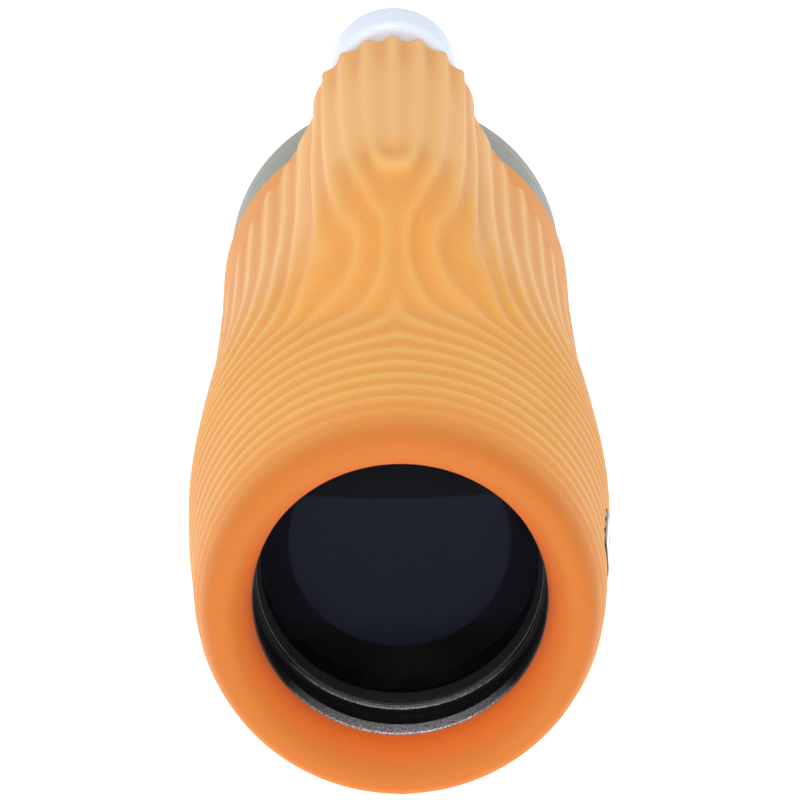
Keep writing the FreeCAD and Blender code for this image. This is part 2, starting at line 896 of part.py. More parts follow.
def make_eyepiece():
    """Fixed eyepiece tube with its lenses, spacer, rings and seal."""
    body = new_body("eyepiece_tube")
    bore = d.eyepiece_bore
    start = d.eyepiece_start
    groove = d.eyepiece_start + 8
    turned_on(
        body,
        [
            (start, bore - 1.3),
            (start + 1, bore - 1.3),
            (start + 1, bore),
            (d.eyepiece_end - 4, bore),
            (d.eyepiece_end, bore + 2.6),
            (d.eyepiece_end, d.eyepiece_neck),
            (start + 13.6, d.eyepiece_neck),
            (start + 13.6, d.eyepiece_outer),
            (groove + 0.75, d.eyepiece_outer),
            (groove + 0.75, d.eyepiece_outer - 1.25),
            (groove - 0.75, d.eyepiece_outer - 1.25),
            (groove - 0.75, d.eyepiece_outer),
            (start, d.eyepiece_outer),
        ],
    )
    key_low = size(0) - d.eyepiece_neck - 1
    key_top = size(0) - d.eyepiece_neck + 1
    slot = [
        (d.cover_floor + 0.1, key_low),
        (d.eyepiece_end + 1, key_low),
        (d.eyepiece_end + 1, key_top),
        (d.cover_floor + 0.1, key_top),
    ]
    pad_across(body, "key_slot", slot, d.key_width + 0.1, "Pocket")
    keep(body, "eyepiece_tube")
    seal_ring("eyepiece_seal", groove, d.eyepiece_outer - 0.6, 0.58)
    lens("field_lens", start + 1.6, start + 6, d.eye_lens_radius, 60, -42)
    turned(
        "lens_spacer",
        [
            (start + 6.5, bore - 1.4),
            (start + 10.4, bore - 1.4),
            (start + 10.4, bore - 0.1),
            (start + 6.5, bore - 0.1),
        ],
    )
    lens("eye_flint_lens", start + 11, start + 13, d.eye_lens_radius, 150, 30)
    lens("eye_crown_lens", start + 13 + d.cement, start + 20, d.eye_lens_radius, 30, -48)
    turned(
        "eyepiece_retaining_ring",
        [
            (start + 19.6, bore - 0.9),
            (start + 21.4, bore - 0.6),
            (start + 21.4, bore - 0.1),
            (start + 19.6, bore - 0.1),
        ],
    )


def make_rear_cover():
    """Fixed grey cover behind the armour, scooped out under the focus wheel."""
    body = new_body("rear_cover")
    front = d.barrel_length + 0.05
    turned_on(
        body,
        [
            (d.barrel_length - 2.2, d.eyepiece_neck + 0.1),
            (d.cover_floor, d.eyepiece_neck + 0.1),
            (d.cover_floor, d.cover_bore),
            (d.cover_end, d.cover_bore),
            (d.cover_end, d.cover_radius - 0.4),
            (d.cover_end - 0.4, d.cover_radius),
            (front + 0.4, d.cover_radius),
            (front, d.cover_radius - 0.4),
            (front, d.chamber_radius - 0.1),
            (d.barrel_length - 2.2, d.chamber_radius - 0.1),
        ],
    )
    scoop_radius = d.wheel_radius + d.wheel_gap
    scoop_length = d.cover_end + 1 - d.barrel_length
    drill_along(body, "wheel_scoop", d.spindle_height, scoop_radius, d.barrel_length, scoop_length)
    keep(body, "rear_cover")


def make_eyecup():
    """Keyed lift ring, turning core and soft rim of the twist-up eyecup."""
    ring_start = d.cover_floor + 0.3
    ring_end = ring_start + 3.6
    ring_outer = d.eyepiece_neck + 1.0
    ring = new_body("eyecup_lift_ring")
    turned_on(
        ring,
        [
            (ring_start, d.eyepiece_neck + d.running_gap),
            (ring_end, d.eyepiece_neck + d.running_gap),
            (ring_end, ring_outer),
            (ring_start, ring_outer),
        ],
    )
    key_low = size(0) - d.eyepiece_neck - 0.3
    key_top = size(0) - d.eyepiece_neck + 0.9
    key = [(ring_start, key_low), (ring_end, key_low), (ring_end, key_top), (ring_start, key_top)]
    pad_across(ring, "key", key, d.key_width)
    keep(ring, "eyecup_lift_ring")
    inner = ring_outer + d.running_gap
    turned(
        "eyecup_core",
        [
            (ring_start, inner),
            (ring_end + 0.1, inner),
            (ring_end + 0.1, d.eyepiece_neck + 0.2),
            (d.cup_start + 2, d.eyepiece_neck + 0.2),
            (d.cup_start + 2, d.cover_radius - 1),
            (d.cup_start, d.cover_radius - 1),
            (d.cup_start, d.skirt_radius),
            (ring_start, d.skirt_radius),
        ],
    )
    rim = 1.2
    turned(
        "eyecup_rubber",
        [
            (d.cup_start, d.cover_radius - 0.98),
            (d.cup_start + 2.02, d.cover_radius - 0.98),
            (d.cup_start + 2.02, d.eyepiece_neck + 0.2),
            (d.eyepiece_end + 0.3, d.eyepiece_neck + 0.2),
            (d.cup_end, d.eyepiece_neck + 2.2),
            (d.cup_end, d.cover_radius - rim, rim),
            (d.cup_end - rim, d.cover_radius),
            (d.cup_start + 0.3, d.cover_radius),
            (d.cup_start, d.cover_radius - 0.3),
        ],
    )


make_barrel_armour()
make_side_badge()
make_main_housing()
make_tripod_bush()
make_objective()
make_focusing_group()
make_focus_drive()
make_prism_group()
make_eyepiece()
make_rear_cover()
make_eyecup()
doc.recompute()

for thing in doc.Objects:
    if {"Invalid", "Error"} & set(thing.State):
        raise RuntimeError("%s did not recompute: %s" % (thing.Label, thing.State))
for piece in pieces:
    if piece.Shape.isNull() or not piece.Shape.isValid():
        raise RuntimeError("%s has no valid shape" % piece.Label)

os.makedirs("parts", exist_ok=True)
for piece in pieces:
    piece.Shape.exportStep(os.path.join("parts", piece.Label + ".step"))
    print("%-26s %10.2f mm3 %d solid" % (piece.Label, piece.Shape.Volume, len(piece.Shape.Solids)))
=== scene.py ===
import json
import math

import bmesh
import bpy
import numpy as np
from mathutils import Euler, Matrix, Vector
from mathutils.bvhtree import BVHTree


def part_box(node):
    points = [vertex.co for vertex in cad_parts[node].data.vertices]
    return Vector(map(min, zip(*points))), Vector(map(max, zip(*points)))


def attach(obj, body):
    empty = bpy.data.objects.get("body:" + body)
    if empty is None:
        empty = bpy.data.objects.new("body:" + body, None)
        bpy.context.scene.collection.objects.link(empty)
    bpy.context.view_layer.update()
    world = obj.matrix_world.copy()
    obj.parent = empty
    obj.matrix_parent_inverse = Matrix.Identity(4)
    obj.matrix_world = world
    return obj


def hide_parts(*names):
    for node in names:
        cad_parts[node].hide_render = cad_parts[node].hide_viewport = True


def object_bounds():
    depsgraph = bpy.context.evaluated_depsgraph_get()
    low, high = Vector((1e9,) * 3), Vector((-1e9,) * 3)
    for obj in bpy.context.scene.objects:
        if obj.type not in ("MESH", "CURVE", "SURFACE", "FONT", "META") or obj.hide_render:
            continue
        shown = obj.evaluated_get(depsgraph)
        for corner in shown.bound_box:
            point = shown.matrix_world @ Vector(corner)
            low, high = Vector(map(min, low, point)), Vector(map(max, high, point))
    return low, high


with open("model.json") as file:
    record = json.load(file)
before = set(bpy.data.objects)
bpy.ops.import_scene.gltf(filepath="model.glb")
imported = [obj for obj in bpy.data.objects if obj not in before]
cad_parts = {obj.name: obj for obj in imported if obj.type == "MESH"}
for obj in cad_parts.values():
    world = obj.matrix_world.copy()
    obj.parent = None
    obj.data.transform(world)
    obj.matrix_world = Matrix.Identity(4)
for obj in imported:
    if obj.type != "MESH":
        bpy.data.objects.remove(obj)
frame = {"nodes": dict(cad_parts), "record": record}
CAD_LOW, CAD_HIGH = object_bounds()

# A handheld monocular: a ridged rubber sleeve over a black housing, with a focus wheel, a
# grey rear cover and an eyecup. Lengths are in millimetres until a mesh is made from them.
# Y runs along the optical axis from the objective to the eye, and Z is up to the wheel.

MM = 0.001
NODES = frame["nodes"]

# Armour: the front roll, the barrel and the hump
LIP_RADIUS = 16.82
ROLL_CREST = -6.24
ROLL_RADIUS = 19.88
COLLAR_PLACE = 6.0
BARREL_STATIONS = [
    (ROLL_CREST, 23.0),
    (COLLAR_PLACE, 23.54),
    (16.0, 24.12),
    (30.0, 24.45),
    (48.0, 23.66),
    (66.0, 22.45),
    (84.0, 21.97),
    (106.0, 21.93),
]
REAR_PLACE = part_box("main_housing")[1].y / MM
REAR_ROUNDING = 0.5
HUMP_TOE = 27.0
HUMP_FULL = 59.0
HUMP_TOE_HALF_WIDTH = 11.4
HUMP_HALF_WIDTH = 10.3
HUMP_TOE_TOP = 24.3
HUMP_RISE = 9.3
FLARE_LEAN = 26.4
FLARE_INSET = 1.08
HUMP_BLEND = 7.5
HUMP_BLEND_END = 90.0
# Ridges: rings round the barrel that bend into flutes over the hump. Ridges are numbered
# from the front. The one in the middle of the saddle splits round a nub behind the saddle.
# Places and pitches are in millimetres along the axis or across the hump.
RING_PITCH = 3.15
FIRST_RING = -1.2
FLUTE_PITCH = 3.4
SADDLE_SPREAD = 2.56
SADDLE_SCALE = 5.6
SADDLE_ROUNDING = 0.3
RING_DEPTH = 0.33
FLUTE_DEPTH = 0.74
BEND_SOFTNESS = 0.5
SADDLE_RIDGE = 8.0
REAR_RIDGE = 6.0
FLANK_RIDGE = 7.3
# (place, ridge number on the middle line) and (place, distance from it to the split ridge)
MIDDLE_STATIONS = [(20.0, 8.2), (28.5, 7.7), (36.0, 7.75), (41.5, 7.75), (45.0, 7.68), (49.0, 7.6)]
MIDDLE_STATIONS += [(53.0, 7.5), (56.0, 7.0), (61.0, 6.5), (66.0, 6.0), (106.0, 6.0)]
SPLIT_STATIONS = [(34.0, 0.8), (40.0, 1.5), (45.0, 2.5), (50.0, 3.9), (57.0, 4.9), (65.0, 5.6)]
SPLIT_STATIONS += [(85.0, 6.6), (106.0, 6.9)]
# Flat land under the barrel
LAND_DEPTH = -CAD_LOW.z / MM
LAND_HALF_WIDTH = 9.0
LAND_START = 38.0
LAND_END = 74.0
# Mesh spacing of the armour, and how far from the top line the close columns reach
ROW_SPACING = 0.44
COLUMN_SPACING = 0.44
UNDER_SPACING = 0.85
RIDGED_REACH = 44.0
# Inside of the armour: its greatest wall, its gap to the housing, and where it meets the lip
GREATEST_WALL = 2.6
HOUSING_GAP = 0.05
INNER_RINGS = 16
LIP_FRONT = -0.06
# Blank inlay: its dark rim, and how far its edge stands out of the flank
BADGE_RIM = 0.9
BADGE_RISE = 0.10
# Objective: the lit ring's bore, the place and gap of the lens pair's joint, and its bends
BEZEL_BORE = 16.6
CEMENT_PLACE = 15.0
CEMENT_GAP = 0.02
FRONT_BEND = 71.0
CEMENT_BEND = -50.0
REAR_BEND = -220.0


def rgb(red, green, blue):
    """A linear colour from display values between 0 and 255."""
    def linear(value):
        share = value / 255
        return share / 12.92 if share <= 0.04045 else ((share + 0.055) / 1.055) ** 2.4
    return (linear(red), linear(green), linear(blue), 1.0)


def smooth_step(low, high, value):
    """0 below the low value, 1 above the high one and an eased rise between them."""
    share = np.clip((value - low) / (high - low), 0, 1)
    return share * share * (3 - 2 * share)


def smooth_band(rise_from, rise_to, fall_from, fall_to, value):
    """1 between rise_to and fall_from, easing to 0 on either side."""
    return smooth_step(rise_from, rise_to, value) * (1 - smooth_step(fall_from, fall_to, value))


def smooth_max(first, second, blend):
    """The larger of two values, with a rounded change from one to the other."""
    share = np.clip(0.5 + 0.5 * (second - first) / blend, 0, 1)
    return first + (second - first) * share + blend * share * (1 - share)


def smooth_curve(stations, place):
    """A smooth curve through (place, value) stations, read at any places."""
    x, y = np.array(stations).T
    slope = np.gradient(y, x)
    place = np.clip(place, x[0], x[-1])
    i = np.clip(np.searchsorted(x, place) - 1, 0, len(x) - 2)
    step = x[i + 1] - x[i]
    t = (place - x[i]) / step
    start = y[i] * (1 + 2 * t) * (1 - t) ** 2 + slope[i] * step * t * (1 - t) ** 2
    end = y[i + 1] * t * t * (3 - 2 * t) + slope[i + 1] * step * t * t * (t - 1)
    return start + end


# ---------------------------------------------------------------- mesh helpers


def tidy_mesh(thing, sharp=35, merge=True):
    """Merge doubled points, turn the faces outward and shade the mesh smooth."""
    work = bmesh.new()
    work.from_mesh(thing.data)
    if merge:
        bmesh.ops.remove_doubles(work, verts=work.verts, dist=1e-6)
    bmesh.ops.recalc_face_normals(work, faces=work.faces)
    work.to_mesh(thing.data)
    work.free()
    thing.data.polygons.foreach_set("use_smooth", [True] * len(thing.data.polygons))
    thing.data.set_sharp_from_angle(angle=math.radians(sharp))
    return thing


def mesh_object(name, points, faces):
    """A mesh object from points in millimetres."""
    mesh = bpy.data.meshes.new(name)
    mesh.from_pydata((np.asarray(points) * MM).tolist(), [], faces)
    thing = bpy.data.objects.new(name, mesh)
    bpy.context.scene.collection.objects.link(thing)
    return thing


def closed_grid(name, grid, sharp=35, merge=True):
    """A mesh from a grid of points that closes on itself along its rows and its columns."""
    rows, columns, _ = grid.shape
    i, j = np.meshgrid(np.arange(rows), np.arange(columns), indexing="ij")
    next_i = (i + 1) % rows
    next_j = (j + 1) % columns
    row = i * columns
    next_row = next_i * columns
    faces = np.stack([row + j, row + next_j, next_row + next_j, next_row + j], -1)
    thing = mesh_object(name, grid.reshape(-1, 3), faces.reshape(-1, 4).tolist())
    return tidy_mesh(thing, sharp, merge)


def rounded(corners, steps=5):
    """A closed profile with its corners rounded; each corner is (along, radius, rounding)."""
    points = []
    for i, (along, radius, rounding) in enumerate(corners):
        here = np.array([along, radius])
        if rounding == 0:
            points.append(here)
            continue
        before = np.array(corners[i - 1][:2]) - here
        after = np.array(corners[(i + 1) % len(corners)][:2]) - here
        before = before / np.linalg.norm(before)
        after = after / np.linalg.norm(after)
        half = math.acos(np.clip(before @ after, -1, 1)) / 2
        middle = (before + after) / np.linalg.norm(before + after)
        centre = here + middle * rounding / math.sin(half)
        first = here + before * rounding / math.tan(half) - centre
        last = here + after * rounding / math.tan(half) - centre
        for share in np.linspace(0, 1, steps + 1):
            blend = first * (1 - share) + last * share
            points.append(centre + blend / np.linalg.norm(blend) * rounding)
    return points


def lathe(name, profile, height=0.0, segments=160, sharp=35):
    """A closed (along Y, radius) profile turned about the optical axis or one above it."""
    profile = np.array(profile)
    angle = np.linspace(0, 2 * math.pi, segments, endpoint=False)
    along, turn = np.meshgrid(profile[:, 0], angle, indexing="ij")
    radius = np.repeat(profile[:, 1:], segments, axis=1)
    grid = np.stack([radius * np.sin(turn), along, radius * np.cos(turn) + height], -1)
    return closed_grid(name, grid, sharp)


def ring_points(radius, angle, along):
    """Points at polar radii and angles about the optical axis, in one plane across it."""
    return np.stack([radius * np.sin(angle), np.full_like(angle, along), radius * np.cos(angle)], -1)


def cut(thing, *cutters):
    """Take the cutters' shapes out of a mesh for good."""
    for cutter in cutters:
        modifier = thing.modifiers.new("cut", "BOOLEAN")
        modifier.operation = "DIFFERENCE"
        modifier.solver = "MANIFOLD"
        modifier.object = cutter
    shape = bpy.data.meshes.new_from_object(thing.evaluated_get(bpy.context.evaluated_depsgraph_get()))
    thing.modifiers.clear()
    thing.data = shape
    for cutter in cutters:
        bpy.data.objects.remove(cutter)


def place(thing, body, slot, paint, *nodes):
    """Give a new piece its body and material, in place of the CAD nodes it stands for."""
    thing.data.materials.clear()
    thing.data.materials.append(paint)
    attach(thing, body)
    if nodes:
        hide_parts(*nodes)


# ------------------------------------------------------------------- materials


class Paint:
    """A Principled material with a few helpers for its nodes."""

    def __init__(self, name, colour, roughness, **constants):
        self.material = bpy.data.materials.new(name)
        self.material.use_nodes = True
        self.tree = self.material.node_tree
        self.shader = self.tree.nodes["Principled BSDF"]
        self.shader.inputs["Base Color"].default_value = colour
        self.shader.inputs["Roughness"].default_value = roughness
        for socket, value in constants.items():
            self.shader.inputs[socket.replace("_", " ")].default_value = value
        self.place = self.node("ShaderNodeTexCoord").outputs["Object"]

    def node(self, kind, settings=None, **inputs):
        """A node with its settings and inputs; an input is a number or another node's output."""
        made = self.tree.nodes.new(kind)
        for key, value in (settings or {}).items():
            setattr(made, key, value)
        for key, value in inputs.items():
            self.join(value, made.inputs[key.replace("_", " ")])
        return made

    def join(self, value, socket):
        """Link another node's output to a socket, or set the socket to a number or colour."""
        if isinstance(value, bpy.types.NodeSocket):
            self.tree.links.new(value, socket)
        else:
            socket.default_value = value

    def noise(self, size, detail=2.0, roughness=0.5):
        """Noise whose features are about size millimetres wide."""
        made = self.node("ShaderNodeTexNoise", Vector=self.place, Scale=1 / (size * MM))
        made.inputs["Detail"].default_value = detail
        made.inputs["Roughness"].default_value = roughness
        return made.outputs["Fac"]

    def cells(self, size):
        """Distance to the nearest of scattered points that lie about size millimetres apart."""
        made = self.node("ShaderNodeTexVoronoi", Vector=self.place, Scale=1 / (size * MM))
        return made.outputs["Distance"]

    def level(self, name):
        """A value that the mesh carries at each of its points."""
        return self.node("ShaderNodeAttribute", {"attribute_name": name}).outputs["Fac"]

    def ramp(self, value, low, high, to_low=0.0, to_high=1.0):
        """Map a value from one range to another, held at its ends."""
        made = self.node("ShaderNodeMapRange", Value=value)
        for key, number in (("From Min", low), ("From Max", high), ("To Min", to_low), ("To Max", to_high)):
            made.inputs[key].default_value = number
        return made.outputs["Result"]

    def along(self, axis):
        """One coordinate of the surface, in metres."""
        return self.node("ShaderNodeSeparateXYZ", Vector=self.place).outputs[axis]

    def off_axis(self, across, up):
        """Distance from the optical axis, from the distances across it and above it."""
        squares = self.math("ADD", self.times(across, across), self.times(up, up))
        return self.math("SQRT", squares)

    def math(self, operation, first, second=0.0):
        """The result of one operation on two numbers or outputs."""
        made = self.node("ShaderNodeMath", {"operation": operation})
        self.join(first, made.inputs[0])
        self.join(second, made.inputs[1])
        return made.outputs[0]

    def times(self, first, second):
        return self.math("MULTIPLY", first, second)

    def band(self, value, rise_from, rise_to, fall_from, fall_to):
        """1 between rise_to and fall_from, falling to 0 on either side."""
        rise = self.ramp(value, rise_from, rise_to)
        fall = self.ramp(value, fall_from, fall_to, 1.0, 0.0)
        return self.times(rise, fall)

    def mix(self, share, first, second):
        """Mix two colours by a share."""
        made = self.node("ShaderNodeMix", {"data_type": "RGBA"})
        for index, value in ((0, share), (6, first), (7, second)):
            self.join(value, made.inputs[index])
        return made.outputs[2]

    def colour(self, value):
        self.join(value, self.shader.inputs["Base Color"])

    def rough(self, value):
        self.join(value, self.shader.inputs["Roughness"])

    def bump(self, value, depth, strength=1.0):
        """Relief of the given depth in millimetres."""
        made = self.node("ShaderNodeBump", Height=value, Strength=strength, Distance=depth * MM)
        self.join(made.outputs["Normal"], self.shader.inputs["Normal"])


def armour_paint():
    """Matte rubber: painted highlights on the ridge crests, painted shade in the grooves, and a deeper
    colour on the front roll.
    """
    paint = Paint("armour_rubber", rgb(228, 140, 66), 0.62, Sheen_Weight=0.1, Sheen_Roughness=0.5)
    paint.shader.inputs["Sheen Tint"].default_value = rgb(255, 226, 200)
    paint.shader.inputs["Specular IOR Level"].default_value = 0.16
    across = paint.along("X")
    along = paint.along("Y")
    up = paint.along("Z")
    coloured = barrel_colour(paint, along, up)
    # The front roll is deeper in colour. It is darker at its front and lighter towards the shoulder,
    # painted shade and painted light that even out the light from the front. Its inner edge is the deepest:
    # a redder tint with painted shade where the roll turns into the tube
    collar = paint.mix(paint.ramp(along, -0.0058, -0.0005), rgb(198, 114, 46), rgb(219, 137, 62))
    coloured = paint.mix(paint.ramp(along, -0.0050, 0.0045, 1.0, 0.0), coloured, collar)
    inside = paint.ramp(paint.off_axis(across, up), 0.0166, 0.0190, 1.0, 0.0)
    coloured = paint.mix(inside, coloured, rgb(230, 102, 28))
    coloured = saddle_colour(paint, coloured, along, up)
    # Sparse dark specks
    specks = paint.ramp(paint.cells(1.1), 0.05, 0.09, 1.0, 0.0)
    rare = paint.ramp(paint.noise(2.5, 0), 0.66, 0.72)
    coloured = paint.mix(paint.times(paint.times(specks, rare), 0.35), coloured, rgb(176, 92, 40))
    paint.colour(coloured)
    paint.rough(paint.ramp(paint.noise(0.6, 3), 0.3, 0.7, 0.56, 0.7))
    paint.bump(paint.noise(0.28, 4, 0.6), 0.05, 0.5)
    return paint.material


def barrel_colour(paint, along, up):
    """Rubber behind the front roll: painted sheen to the rear, painted highlights on the crests, and
    painted shade in the grooves and low down.
    """
    crest = paint.level("ridge")
    body = paint.mix(paint.ramp(paint.noise(14, 3), 0.3, 0.7), rgb(224, 163, 80), rgb(228, 171, 88))
    # Painted sheen: paler to the rear, where light from behind grazes the hump and the flanks
    body = paint.mix(paint.ramp(along, 0.046, 0.070), body, rgb(233, 180, 115))
    # Painted shade: deeper in colour low on the flanks, where less light falls
    body = paint.mix(paint.ramp(up, 0.006, 0.018, 0.6, 0.0), body, rgb(214, 142, 68))
    # Painted shade in the grooves; the crests keep the lighter colour
    groove = paint.mix(0.35, body, rgb(214, 122, 48))
    body = paint.mix(paint.ramp(crest, 0.1, 0.75), groove, body)
    # Painted highlight: a pale line along the crests, stronger low on the flanks than on top
    line = paint.band(crest, 0.72, 0.94, 0.995, 0.999)
    line = paint.times(line, paint.ramp(up, 0.013, 0.022, 0.36, 0.10))
    body = paint.mix(line, body, rgb(246, 212, 164))
    return paint.mix(paint.times(paint.level("rear_rim"), 0.8), body, rgb(224, 146, 66))


def saddle_colour(paint, colour, along, up):
    """Painted shade that deepens the smooth saddle before the hump, and a pale grain on it."""
    in_saddle = paint.times(paint.band(along, 0.024, 0.032, 0.050, 0.056), paint.ramp(up, 0.020, 0.024))
    grain = paint.times(paint.ramp(paint.noise(0.3, 3, 0.7), 0.46, 0.62), in_saddle)
    # Painted shade: the saddle is deeper in colour than the rubber round it
    colour = paint.mix(paint.times(in_saddle, 0.35), colour, rgb(228, 154, 72))
    return paint.mix(paint.times(grain, 0.24), colour, rgb(240, 186, 116))


def plastic_paint(name, colour, shade, roughness, grain=0.25, depth=0.04, **constants):
    """Moulded plastic or rubber: two close shades under a fine grain."""
    paint = Paint(name, colour, roughness, **constants)
    paint.colour(paint.mix(paint.ramp(paint.noise(grain * 1.6, 3), 0.35, 0.65), colour, shade))
    paint.rough(paint.ramp(paint.noise(2.0, 3), 0.3, 0.7, roughness - 0.06, roughness + 0.06))
    paint.bump(paint.noise(grain, 3, 0.6), depth, 0.5)
    return paint.material


def turned_paint(name, colour, shade, roughness, metallic, line=0.12, depth=0.01):
    """Turned metal: fine rings left by the tool, and a slow change of tone."""
    paint = Paint(name, colour, roughness, Metallic=metallic)
    paint.colour(paint.mix(paint.ramp(paint.noise(3.0, 3), 0.3, 0.7), colour, shade))
    # At a scale of 1 the wave texture repeats about every 0.32 units
    scale = 0.32 / (line * MM)
    rings = paint.node("ShaderNodeTexWave", {"bands_direction": "Y"}, Vector=paint.place, Scale=scale)
    rings.inputs["Distortion"].default_value = 0.4
    paint.rough(paint.ramp(rings.outputs["Fac"], 0, 1, roughness - 0.05, roughness + 0.08))
    paint.bump(rings.outputs["Fac"], depth, 0.6)
    return paint.material


def blasted_lit_paint():
    """Black metal with a coarse sparkling blast and painted light: pale low on the ring where light falls,
    fading to plain black above.
    """
    paint = Paint("blasted_black_painted_light", rgb(120, 121, 124), 0.42, Metallic=0.5)
    lit_blast = paint.mix(paint.ramp(paint.noise(0.22, 2), 0.35, 0.65), rgb(96, 97, 102), rgb(228, 230, 235))
    # Painted light: the blast is pale only on the lower ring
    above = paint.ramp(paint.along("Z"), -0.0160, -0.0105)
    paint.colour(paint.mix(above, lit_blast, rgb(46, 47, 49)))
    paint.rough(paint.ramp(paint.noise(0.3, 2), 0.3, 0.7, 0.3, 0.55))
    paint.bump(paint.noise(0.2, 2), 0.08, 0.9)
    return paint.material


def glass_paint(name, colour, alpha, roughness=0.03):
    """Coated glass: mostly seen through, with a faint even tint and a clear reflection."""
    paint = Paint(name, colour, roughness, Alpha=alpha, IOR=1.6, Specular_IOR_Level=0.2)
    paint.rough(paint.ramp(paint.noise(6.0, 2), 0.3, 0.7, roughness, roughness + 0.02))
    return paint.material


def lens_rear_paint():
    """Rear face of the objective, painted as seen through the lens: a slate disc of painted reflection
    where the tube's clear aperture lies, on painted shade.
    """
    paint = Paint("lens_rear", rgb(17, 16, 24), 0.35)
    # The face reflects nothing itself; its colours stand in for reflection and shade
    paint.shader.inputs["Specular IOR Level"].default_value = 0.0
    across = paint.along("X")
    up = paint.along("Z")
    radius = paint.off_axis(across, up)
    # Painted shade: above a bent line the disc is nearly as dark as what lies round it
    sag = paint.times(paint.times(across, across), 5.0)
    shade = paint.ramp(paint.math("SUBTRACT", up, sag), 0.0052, 0.00545)
    disc = paint.mix(shade, rgb(37, 43, 60), rgb(22, 21, 28))
    # A thin rim round the disc, and the painted shade of the tube that it lies on, darker low down
    rim = paint.band(radius, 0.01268, 0.01272, 0.01284, 0.01288)
    ground = paint.mix(paint.ramp(up, -0.0098, -0.0092, 1.0, 0.0), rgb(24, 23, 33), rgb(21, 21, 20))
    inside = paint.ramp(radius, 0.01276, 0.01282, 1.0, 0.0)
    paint.colour(paint.mix(rim, paint.mix(inside, ground, disc), rgb(44, 38, 54)))
    return paint.material


# ---------------------------------------------------------------------- armour


def hump_outline(angle, along):
    """Polar radius of the hump about the optical axis: a half-round top on flared sides."""
    straight = np.clip((along - HUMP_TOE) / (HUMP_FULL - HUMP_TOE), 0, 1)
    eased = smooth_step(HUMP_TOE, HUMP_FULL, along)
    half_width = HUMP_TOE_HALF_WIDTH + (HUMP_HALF_WIDTH - HUMP_TOE_HALF_WIDTH) * straight
    centre = HUMP_TOE_TOP + HUMP_RISE * (straight + eased) / 2 - half_width
    sine = np.abs(np.sin(angle))
    cosine = np.cos(angle)
    inside = np.maximum(half_width**2 - (centre * sine) ** 2, 0)
    top = centre * cosine + np.sqrt(inside)
    lean = math.radians(FLARE_LEAN)
    offset = centre * math.sin(lean) + half_width - FLARE_INSET
    flare = offset / np.maximum(sine * math.cos(lean) + cosine * math.sin(lean), 0.1)
    on_top = np.abs(angle) < np.arctan2(half_width, centre)
    radius = np.where(on_top, top, flare)
    return np.where((cosine > 0.5) & (along > HUMP_TOE), radius, 0), straight


def barrel_radius(along):
    """Radius of the barrel without its hump; the front rolls over to the crest."""
    base = smooth_curve(BARREL_STATIONS, along)
    share = np.clip((COLLAR_PLACE - along) / (COLLAR_PLACE - ROLL_CREST), 0, 1)
    rolled = ROLL_RADIUS + (base - ROLL_RADIUS) * (1 - share**3) ** (1 / 3)
    return np.where(along < COLLAR_PLACE, rolled, base)


def humped_radius(angle, along):
    """Polar radius of the barrel with its hump, without the land and the ridges."""
    barrel = barrel_radius(along)
    hump, fullness = hump_outline(angle, along)
    aside = smooth_step(5, 24, np.degrees(np.abs(angle)))
    ahead = 1 - smooth_step(HUMP_FULL - 20, HUMP_BLEND_END, along)
    blend = 1.6 - 1.2 * fullness + HUMP_BLEND * aside * ahead
    blend = 0.05 + blend * smooth_step(HUMP_TOE - 1, HUMP_TOE + 15, along)
    radius = smooth_max(barrel, hump, blend)
    return np.where(hump > 0, radius, barrel)


def armour_radius(angle, along):
    """Polar radius of the sleeve without its ridges, hump and land included."""
    radius = humped_radius(angle, along)
    down = np.maximum(-np.cos(angle), 0.001)
    across = np.abs(radius * np.sin(angle))
    on_land = 1 - smooth_step(LAND_HALF_WIDTH - 0.6, LAND_HALF_WIDTH + 0.6, across)
    on_land = on_land * smooth_step(LAND_START - 0.4, LAND_START + 0.4, along)
    on_land = on_land * (1 - smooth_step(LAND_END - 0.4, LAND_END + 0.4, along)) * (np.cos(angle) < 0)
    return radius + (np.maximum(LAND_DEPTH / down, radius) - radius) * on_land


def front_roll():
    """The (along, radius) line from the lip over the crest to the barrel, evenly spaced."""
    turn = np.linspace(0, math.pi / 2, 60)
    power = 2 / 1.8
    inner_along = ROLL_CREST * np.sin(turn) ** power
    inner_radius = ROLL_RADIUS - (ROLL_RADIUS - LIP_RADIUS) * np.cos(turn) ** power
    outer_along = ROLL_CREST + (COLLAR_PLACE + 2 - ROLL_CREST) * np.linspace(0, 1, 400)[1:] ** 3
    along = np.concatenate([inner_along, outer_along])
    radius = np.concatenate([inner_radius, barrel_radius(outer_along)])
    length = np.concatenate([[0], np.cumsum(np.hypot(np.diff(along), np.diff(radius)))])
    even = np.linspace(0, length[-1], int(length[-1] / ROW_SPACING) + 1)
    return np.interp(even, length, along), np.interp(even, length, radius)


def ridge_number(reach, angle, along):
    """Which ridge a point is on: whole numbers are crests and halves are grooves.

    Rings count along the barrel and flutes count across it. The smaller count rules, with a
    soft change between them, so that each ring bends into a flute.
    """
    across = np.abs(reach)
    rings = (along - FIRST_RING) / RING_PITCH
    middle = smooth_curve(MIDDLE_STATIONS, along)
    outward = np.hypot(across, SADDLE_ROUNDING) - SADDLE_ROUNDING
    saddle = middle + SADDLE_SPREAD * np.log(1 + outward / SADDLE_SCALE)
    split = smooth_curve(SPLIT_STATIONS, along)
    step = SADDLE_RIDGE - REAR_RIDGE
    aside = np.where(across < split, step * across / split, step + (across - split) / FLUTE_PITCH)
    nub = REAR_RIDGE + (aside**3 + np.maximum(middle - REAR_RIDGE, 0) ** 3) ** (1 / 3)
    over_hump = saddle + (nub - saddle) * smooth_step(42, 52, along)
    on_barrel = FLANK_RIDGE + barrel_radius(along) * np.abs(angle) / RING_PITCH
    flutes = over_hump + (on_barrel - over_hump) * smooth_step(16, 31, np.degrees(np.abs(angle)))
    return -np.logaddexp(-BEND_SOFTNESS * rings, -BEND_SOFTNESS * flutes) / BEND_SOFTNESS


